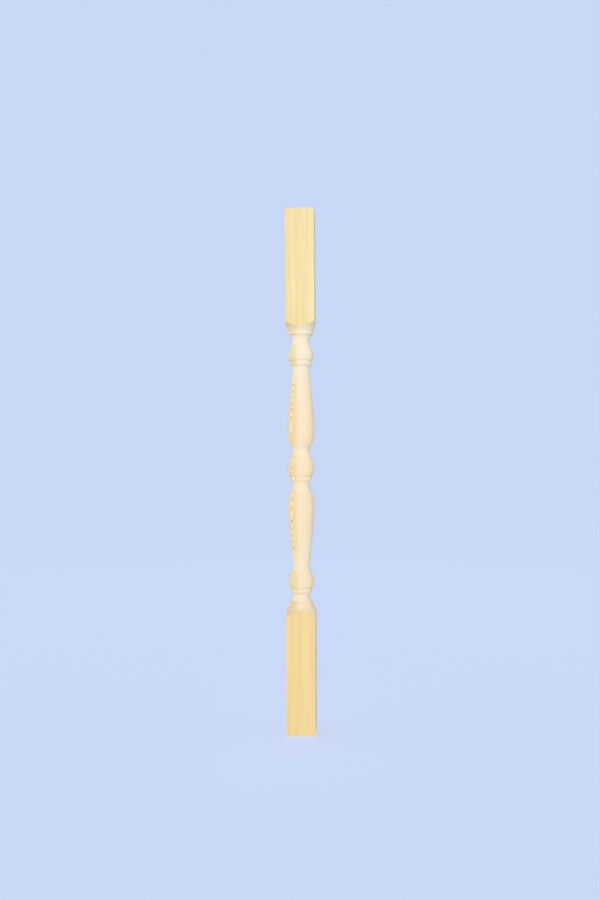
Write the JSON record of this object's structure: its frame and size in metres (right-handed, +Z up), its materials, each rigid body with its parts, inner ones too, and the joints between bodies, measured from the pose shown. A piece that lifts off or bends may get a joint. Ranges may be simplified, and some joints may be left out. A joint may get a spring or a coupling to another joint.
{
  "type": "stair baluster",
  "caption": "Turned softwood stair baluster with square end blocks and tapering vase shapes between balls and fillets; stands between a stair tread and its handrail.",
  "frame": {"origin": "centre of the bottom end face", "axes": "+Z up along the turning axis; the flat faces of the end blocks are square to X and Y, and the face seen from the front looks along -Y"},
  "size_m": [0.05, 0.05, 0.9],
  "materials": {
    "pine": "raw sanded softwood, unvarnished and matt"
  },
  "bodies": {
    "root": {"baluster": "pine"}
  },
  "joints": []
}
